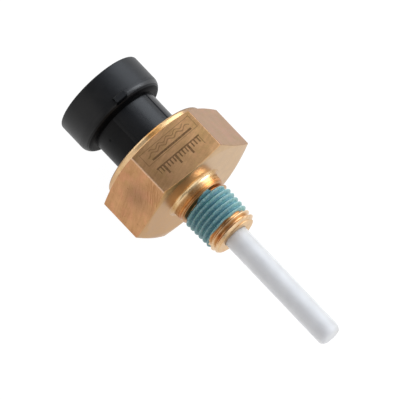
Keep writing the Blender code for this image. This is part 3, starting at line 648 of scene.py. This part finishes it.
for t in (0.06, 0.25, 0.5, 0.75, 0.94):
    rows.append(((front_edge - EDGE) * (1 - t) + (back_edge + EDGE) * t, hexr, FLATS))
for a in (90, 67.5, 45, 22.5, 0):
    rows.append((back_edge + EDGE * (1 - math.cos(math.radians(a))),
                 hexr - EDGE * (1 - math.sin(math.radians(a))), FLATS))
for t in (0.33, 0.67, 1.0):
    r = (hexr - EDGE) * (1 - t) + (COLLAR_R + 0.1) * t
    rows.append((back_x(r), r, COLLAR))
rows.append((back_x(COLLAR_R) - 0.12, COLLAR_R, COLLAR))
for x, share in ((-7.2, 0.12), (-7.45, 0.55), (COLLAR_X + COLLAR_EDGE, 1.0)):
    rows.append((x, COLLAR_R - COLLAR_DRAW * share, COLLAR))
for x, r in arc(COLLAR_X + COLLAR_EDGE, COLLAR_R - COLLAR_DRAW - COLLAR_EDGE, COLLAR_EDGE, 90, 180, 10)[1:]:
    rows.append((x, r, COLLAR))
for r in (13.4, 12.2, 11.2, 10.4):
    # The rolled lip dips slightly towards the connector's neck.
    rows.append((COLLAR_X + 0.10 * smoothstep((13.4 - r) / 3.4), r, COLLAR))
for x, r in arc(COLLAR_X + 0.5, LIP_R + 0.4, 0.4, 180, 270, 5):
    rows.append((x, r, COLLAR))
for x, r in ((-7.45, LIP_R), (-7.45, 13.2), (-3.4, 13.2), (-3.4, 11.6), (2.4, 11.6), (2.4, 5.6),
             (5.5, 5.6), (5.5, 3.5)):
    rows.append((x, r, HUB))
body = turned_mesh("brass_body", rows, phi, [M_FLAT, M_HUB, M_FACE, M_COLLAR, M_THREAD], closed=True, sharp=50)
finish_piece(body, ["hex_body"])

# -------------------------------------------------------------- dried sealant
seal_phi = np.linspace(0, math.tau, 300, endpoint=False)


def ring_noise(angle, seed, scale):
    return np.array([noise.noise(Vector((math.cos(a) * scale, math.sin(a) * scale, seed))) for a in angle])


deg = np.degrees(seal_phi)


def around(points):
    """Smooth values over the angle from (degrees, value) pairs."""
    d = [p[0] - 360 for p in points] + [p[0] for p in points] + [p[0] + 360 for p in points]
    v = [p[1] for p in points] * 3
    return np.interp(deg, d, v)


seal_start = around([(13, 11.0), (45, 10.6), (66, 10.1), (78, 9.5), (90, 9.6), (103, 9.8), (117, 10.2),
                     (154, 10.26), (193, 10.3), (240, 10.4), (300, 10.8)]) + 0.14 * ring_noise(seal_phi, 1.7, 3.0) \
    + 0.08 * ring_noise(seal_phi, 5.1, 9.0)
seal_end = around([(13, 18.6), (60, 18.45), (85, 18.4), (105, 18.5), (125, 18.45), (150, 18.5),
                   (193, 18.8), (250, 19.0), (310, 18.7)]) + 0.14 * ring_noise(seal_phi, 9.3, 3.0) \
    + 0.10 * ring_noise(seal_phi, 4.4, 9.0)
seal_rows, crest_values = [], []
x_list = np.arange(20.0, 9.0, -PITCH / 22)
for x in x_list:
    d = crest_distance(x, seal_phi)
    flank = np.clip((d - 0.12) / 0.76, 0.0, 1.0)
    flank = flank * flank * (3 - 2 * flank) * 0.35 + flank * 0.65
    run_in = smoothstep((x - 8.9) / 1.1)
    lumps = np.array([noise.noise(Vector((x * 1.3, math.cos(a) * 8.5, math.sin(a) * 8.5))) +
                      0.6 * noise.noise(Vector((x * 3.1, math.cos(a) * 21, math.sin(a) * 21)))
                      for a in seal_phi])
    film = crest_radius(x) - 0.95 * flank * run_in + 0.10 + 0.055 * lumps
    inside = smoothstep((x - seal_start) / 0.28) * smoothstep((seal_end - x) / 0.28)
    r = (thread_radius(x, seal_phi) - 0.14) * (1 - inside) + film * inside
    seal_rows.append((x, r, 0))
    # Painted highlight: the pale band is shifted onto each ridge's flank that faces the probe, its lit side.
    crest_values.append(np.clip(1 - crest_distance(x - 0.2, seal_phi), 0, 1))
for x in x_list[::-11]:
    seal_rows.append((x, crest_radius(x) - THREAD_DEPTH - 0.45, 0))
    crest_values.append(np.zeros(len(seal_phi)))
sealant_piece = turned_mesh("sealant_film", seal_rows, seal_phi, [M_SEALANT], closed=True,
                            attributes={"crest": np.concatenate(crest_values)}, sharp=80)
finish_piece(sealant_piece, ["thread_sealant"])

# --------------------------------------------------------------------- probe
probe_phi = np.linspace(0, math.tau, 96, endpoint=False)
probe_rows = []
for x, r in arc(TIP_X - TIP_EDGE, PROBE_R - TIP_EDGE, TIP_EDGE, 8, 90, 12):
    # The moulded end is very slightly domed.
    probe_rows.append((x, r, 0))
for x in np.linspace(TIP_X - TIP_EDGE - 0.5, 3.9, 44):
    probe_rows.append((x, PROBE_R + 0.012 * math.sin(x * 0.9) * math.sin(x * 0.37), 0))
for x, r in ((3.8, 3.3), (3.8, 5.2), (3.7, 5.3), (2.6, 5.3), (2.5, 5.2), (2.5, 2.05), (2.6, 1.95), (20, 1.95),
             (45, 1.95), (53.6, 1.95), (54.1, 1.5)):
    probe_rows.append((x, r, 0))
probe = turned_mesh("probe_tube", probe_rows, probe_phi, [M_WHITE], pole_first=TIP_X, pole_last=54.2, sharp=50)
finish_piece(probe, ["probe_sheath"])

# ------------------------------------------------------------------- housing
lug_edge = math.degrees(math.atan2(LUG_HALF, SHROUD_R))
rib_edge = math.degrees(math.atan2(0.8, 10.0))
cols = list(np.linspace(0, 360, 240, endpoint=False))
for s in (-0.9, -0.6, -0.3, 0.0, 0.3, 0.6):
    cols += [90 + lug_edge + s, 90 - lug_edge - s]
for a in (90.0, 210.0, 330.0):
    for s in (-1.2, -0.6, 0.0, 0.5):
        cols += [a + rib_edge + s, a - rib_edge - s]
for s in (-2.6, -2.2, -1.8, -1.4, -0.9, 0.9, 1.4, 1.8, 2.2, 2.6):
    cols.append(GROOVE_ANGLE + s)
house_deg = np.array(sorted(set(round(c % 360, 5) for c in cols)))
house_phi = np.radians(house_deg)


def angle_from(a):
    return (house_deg - a + 180) % 360 - 180


lug_side = np.abs(np.radians(angle_from(90.0)))
across = 12.6 * np.sin(np.minimum(lug_side, math.pi / 2))
lug_width = smoothstep((LUG_HALF + 0.04 - across) / 0.2)
lug_radius = np.minimum(LUG_TOP / np.cos(np.minimum(lug_side, 0.6)), 13.3)
groove_across = 9.2 * np.sin(np.radians(np.clip(np.abs(angle_from(GROOVE_ANGLE)), 0, 60)))
groove = smoothstep((GROOVE_HALF + 0.1 - groove_across) / 0.24)
rib = np.zeros(len(house_deg))
for a in (90.0, 210.0, 330.0):
    side = 10.0 * np.sin(np.radians(np.clip(np.abs(angle_from(a)), 0, 60)))
    rib = np.maximum(rib, smoothstep((0.86 - side) / 0.18))


def outer_row(x, base):
    height = smoothstep((x - LUG_REAR) / 0.38) * smoothstep((LUG_FRONT + 0.02 - x) / 0.16)
    return base + (np.maximum(lug_radius, base) - base) * lug_width * height


hr = [(-11.5, 3.5, 0), (-11.5, 7.3, 0), (-11.4, 7.4, 0), (-5.3, 7.4, 0), (-5.15, 7.6, 0), (-5.15, 9.9, 0), (-5.0, 10.0, 0),
      (-2.85, 10.0, 0), (-2.75, 10.1, 0), (-2.75, 11.1, 0), (-2.85, 11.2, 0), (-5.4, 11.2, 0), (-5.5, 11.3, 0),
      (-5.5, 12.7, 0), (-5.7, 12.9, 0), (-6.9, 12.9, 0), (-7.1, 12.7, 0), (-7.1, 9.5, 0), (-7.2, 9.3, 0)]
for x in np.linspace(-7.4, BASE_X + 0.22, 14):
    draft = NECK_R + 0.02 * (-7.4 - x) / 11.0
    ends = smoothstep((-7.3 - x) / 0.1) * smoothstep((x - BASE_X - 0.05) / 0.2)
    hr.append((x, draft - GROOVE_DEPTH * groove * (ends if x > BASE_X + 1 else 1.0), 1))
inner_fillet = arc(BASE_X + 0.15, NECK_R + 0.02 + 0.15, 0.15, 270, 180, 4)
# Painted shade in the crease at the neck's base.
for i, (x, r) in enumerate(inner_fillet):
    hr.append((x, r - GROOVE_DEPTH * groove * (0.8 - 0.2 * i), 3))
shoulder_x = sorted(set([round(BASE_X - SHOULDER + SHOULDER * math.sin(math.radians(a)), 4)
                         for a in list(np.linspace(88, 0, 34))] +
                        [-19.5, -19.58, -19.62, -19.66, -19.7, -19.74, -19.8]), reverse=True)
for x in shoulder_x:
    s = (x - (BASE_X - SHOULDER)) / SHOULDER
    base = SHROUD_R - SHOULDER + SHOULDER * math.sqrt(max(0.0, 1 - s * s))
    # Painted shade: the shoulder gets darker, duller copies as it turns into the root beside the neck.
    hr.append((x, outer_row(x, base), 3 if s > 0.79 else 2 if s > 0.64 else 6 if s > 0.28 else 0))
for x in (-21.4, -21.48, -21.56, -21.62, -21.66, -21.72, -21.9, -22.2, -22.6, -23.4, -24.4, -25.4, -26.4, -27.3):
    hr.append((x, outer_row(x, SHROUD_R), 0))
for x, r in arc(RIM_X + 0.45, SHROUD_R - 0.45, 0.45, 90, 180, 6):
    hr.append((x, r, 0))
for x, r in arc(RIM_X + 0.35, BORE_R + 0.35, 0.35, 180, 270, 5):
    hr.append((x, r, 0))
for x, share in ((-28.0, 0), (-27.6, 0), (-27.5, 0.15), (-27.4, 0.5), (-27.3, 0.85), (-27.2, 1), (-25, 1), (-23, 1),
                 (-21.4, 1), (FLOOR_X - 0.3, 1)):
    hr.append((x, BORE_R - 0.85 * rib * share, 0))
for x, r in arc(FLOOR_X - 0.3, BORE_R - 0.3, 0.3, 90, 0, 4):
    hr.append((x, r - 0.85 * rib, 0))
for r in (9.2, 8.6, 8.1):
    hr.append((FLOOR_X, np.minimum(r, BORE_R - 0.5 - 0.85 * rib), 0))
for x, r in arc(FLOOR_X + 0.3, SOCKET_R + 0.3, 0.3, 180, 270, 4):
    hr.append((x, r, 0))
for x, r in ((-19, SOCKET_R), (-17.5, SOCKET_R), (-16, SOCKET_R), (WEB_X - 0.3, SOCKET_R), (WEB_X - 0.09, SOCKET_R - 0.09),
             (WEB_X, SOCKET_R - 0.3), (WEB_X, 5.5), (WEB_X, 3.0)):
    hr.append((x, r, 0))
housing = turned_mesh("plug_housing", hr, house_phi, [M_BLACK, M_NECK, M_ROOT_SHADE, M_RECESS_SHADE, M_NECK_MID, M_NECK_LOW, M_SHOULDER_SHEEN],
                      pole_first=-11.5, pole_last=WEB_X, sharp=42)
# Painted shade: the neck's sides and lower side get duller copies, dimming their reflection.
for face in housing.data.polygons:
    if face.material_index == 1:
        middle = face.center
        angle = math.degrees(math.atan2(middle.z - AXIS_Z * MM, middle.y)) % 360
        face.material_index = 5 if 117 < angle < 285 else 4 if 109 < angle < 300 else 1
    elif face.material_index == 6:
        # Painted highlight: the glossier copy stays on the shoulder's +Y side only.
        middle = face.center
        angle = math.degrees(math.atan2(middle.z - AXIS_Z * MM, middle.y)) % 360
        face.material_index = 0 if 80 < angle < 350 else 6
    elif face.center.x > LUG_REAR * MM and face.center.x < (LUG_FRONT + 0.05) * MM:
        # Painted shade: the key's side and front faces use the dark recess copy; its top keeps the plain finish.
        middle = face.center
        angle = math.degrees(math.atan2(middle.z - AXIS_Z * MM, middle.y)) % 360
        reach = math.hypot(middle.y, middle.z - AXIS_Z * MM) / MM
        over = abs(angle - 90) < lug_edge + 1.0
        if over and (abs(face.normal.x) > 0.6 or abs(face.normal.y) > 0.7) and reach > 11.6:
            face.material_index = 3


def block(low, high, bevel, segments, mat, name, taper=None):
    """A block between two corners (mm from the axis), with rounded edges."""
    bm = bmesh.new()
    bmesh.ops.create_cube(bm, size=1.0)
    for v in bm.verts:
        v.co = Vector([(l + h) / 2 + c * (h - l) for l, h, c in zip(low, high, v.co)])
    if taper:
        taper(bm)
    bmesh.ops.bevel(bm, geom=list(bm.edges), offset=bevel, segments=segments, profile=0.6, affect="EDGES")
    for v in bm.verts:
        v.co = Vector((v.co.x, v.co.y, v.co.z + AXIS_Z)) * MM
    mesh = bpy.data.meshes.new(name)
    bm.to_mesh(mesh)
    bm.free()
    mesh.materials.append(mat)
    mesh.shade_smooth()
    mesh.set_sharp_from_angle(angle=math.radians(35))
    obj = bpy.data.objects.new(name, mesh)
    scene.collection.objects.link(obj)
    return obj


def join(target, others):
    """Adds the others' meshes to target's."""
    bm = bmesh.new()
    bm.from_mesh(target.data)
    for o in others:
        bm.from_mesh(o.data)
    bm.to_mesh(target.data)
    bm.free()
    for o in others:
        data = o.data
        bpy.data.objects.remove(o)
        bpy.data.meshes.remove(data)
    return target


bosses = []
for i in (-1, 0, 1):
    y = 4.6 * i
    bosses.append(block((WEB_X - 0.55, y - 2.0, -0.95), (WEB_X + 0.4, y + 2.0, 0.95), 0.14, 2, M_BLACK, "boss%d" % i))
join(housing, bosses)
finish_piece(housing, ["connector_housing"])

# ----------------------------------------------------------- connector blades
for number in (1, 2, 3):
    y = 4.6 * (number - 2)

    def point_blade(bm, y=y):
        # Loop cuts near the tip, then a taper both ways.
        geom = list(bm.verts) + list(bm.edges) + list(bm.faces)
        bmesh.ops.bisect_plane(bm, geom=geom, plane_co=(-23.1, 0, 0), plane_no=(1, 0, 0))
        for v in bm.verts:
            if v.co.x < -23.5:
                v.co.y = y + (v.co.y - y) * 0.55
                v.co.z *= 0.35

    blade = block((-24.2, y - 1.4, -0.4), (-13.0, y + 1.4, 0.4), 0.07, 2, M_TIN, "blade_%d" % number,
                  taper=point_blade)
    tail = block((-13.2, y - 0.6, -0.38), (-0.8, y + 0.6, 0.38), 0.06, 1, M_TIN, "tail_%d" % number)
    join(blade, [tail])
    finish_piece(blade, ["terminal_%d" % number])

# ------------------------------------------------- pieces kept from the model
for node, mat in {
    "housing_seal": M_RUBBER, "probe_seal": M_RUBBER, "circuit_board": M_BOARD, "ic_chip": M_CHIP,
    "transistor": M_CHIP, "resistor_1": M_CHIP, "resistor_2": M_CHIP, "protection_diode": M_CHIP,
    "filter_capacitor": M_CERAMIC, "timing_capacitor": M_CERAMIC, "contact_spring": M_STEEL,
    "electrode_rod": M_STEEL, "probe_clamp_ring": M_STEEL, "ground_ring": M_HUB, "potting_compound": M_POTTING,
}.items():
    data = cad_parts[node].data
    if not data.materials:
        data.materials.append(mat)
    for i in range(len(data.materials)):
        data.materials[i] = mat

# ============================================================ floor and lights
floor_graph = bpy.data.materials.new("pale_floor")
floor_graph.use_nodes = True
nt = floor_graph.node_tree
nt.nodes.clear()
out = nt.nodes.new("ShaderNodeOutputMaterial")
mix = nt.nodes.new("ShaderNodeAddShader")
diffuse = nt.nodes.new("ShaderNodeBsdfDiffuse")
diffuse.inputs["Color"].default_value = (0.12, 0.12, 0.12, 1)
glow = nt.nodes.new("ShaderNodeEmission")
glow.inputs["Color"].default_value = (1, 1, 1, 1)
glow.inputs["Strength"].default_value = 0.95
nt.links.new(diffuse.outputs[0], mix.inputs[0])
nt.links.new(glow.outputs[0], mix.inputs[1])
nt.links.new(mix.outputs[0], out.inputs["Surface"])
bpy.ops.mesh.primitive_plane_add(size=6.0, location=(0, 0, -0.00002))
floor = bpy.context.object
floor.name = "floor"
floor.data.materials.append(floor_graph)

world = bpy.data.worlds.new("studio")
scene.world = world
world.use_nodes = True
wt = world.node_tree
background = wt.nodes["Background"]
background.inputs["Color"].default_value = (0.90, 0.94, 1.0, 1)
background.inputs["Strength"].default_value = 0.35


def panel(name, place, target, width, height, radiance, colour):
    light = bpy.data.lights.new(name, "AREA")
    light.shape = "RECTANGLE"
    light.size = width
    light.size_y = height
    light.energy = radiance * math.pi * width * height
    light.color = colour
    obj = bpy.data.objects.new(name, light)
    scene.collection.objects.link(obj)
    obj.location = place
    obj.rotation_euler = (Vector(target) - Vector(place)).to_track_quat("-Z", "Y").to_euler()
    obj.visible_camera = False
    return obj


centre = (0.0, 0.0, 0.016)


def ring_panel(name, angle, half_angle, width, radiance, colour, distance=0.9, lean=0.0):
    """A panel beside the switch; the angle is counted from +Y up over the top to -Y."""
    a = math.radians(angle)
    place = (lean, distance * math.cos(a), 0.016 + distance * math.sin(a))
    panel(name, place, centre, width, 2 * distance * math.tan(math.radians(half_angle)), radiance, colour)


ring_panel("softbox_right", 27, 22, 1.1, 3.2, (0.87, 0.93, 1.0))
ring_panel("softbox_right_top", 60, 9, 1.1, 0.9, (0.90, 0.95, 1.0))
ring_panel("softbox_left", 151.5, 24.5, 1.1, 0.65, (1.0, 0.96, 0.92))
panel("strip_front_right", (0.35, 0.756, 0.30), centre, 0.2, 0.72, 4.4, (0.96, 0.98, 1.0))
panel("softbox_back", (-0.85, 0.0, 0.36), centre, 1.1, 0.6, 1.4, (1.0, 0.98, 0.96))
panel("softbox_front", (0.85, 0.15, 0.34), centre, 0.9, 0.55, 1.0, (1.0, 0.99, 0.97))

# ================================================================== the camera
SCALE_MM = 0.24323                 # mm a pixel at the hexagon's centre
DISTANCE = 2.0
elevation, bearing = math.radians(70.1918), math.radians(-41.8458)
toward = Vector((math.cos(elevation) * math.cos(bearing), math.cos(elevation) * math.sin(bearing),
                 math.sin(elevation)))
right = Vector((-math.sin(bearing), math.cos(bearing), 0.0))
up = toward.cross(right)
aim = Vector((0, 0, AXIS_Z * MM)) + right * (23.2972 * SCALE_MM * MM) - up * (25.8328 * SCALE_MM * MM)
cam_data = bpy.data.cameras.new("camera")
cam = bpy.data.objects.new("camera", cam_data)
scene.collection.objects.link(cam)
cam.location = aim + toward * DISTANCE
cam.rotation_euler = toward.to_track_quat("Z", "Y").to_euler()
cam_data.sensor_width = 36.0
cam_data.lens = 36.0 * (DISTANCE * 1000 / SCALE_MM) / 400
cam_data.clip_start = 0.01
cam_data.clip_end = 20.0
scene.camera = cam

scene.view_settings.view_transform = "Standard"
scene.view_settings.look = "None"
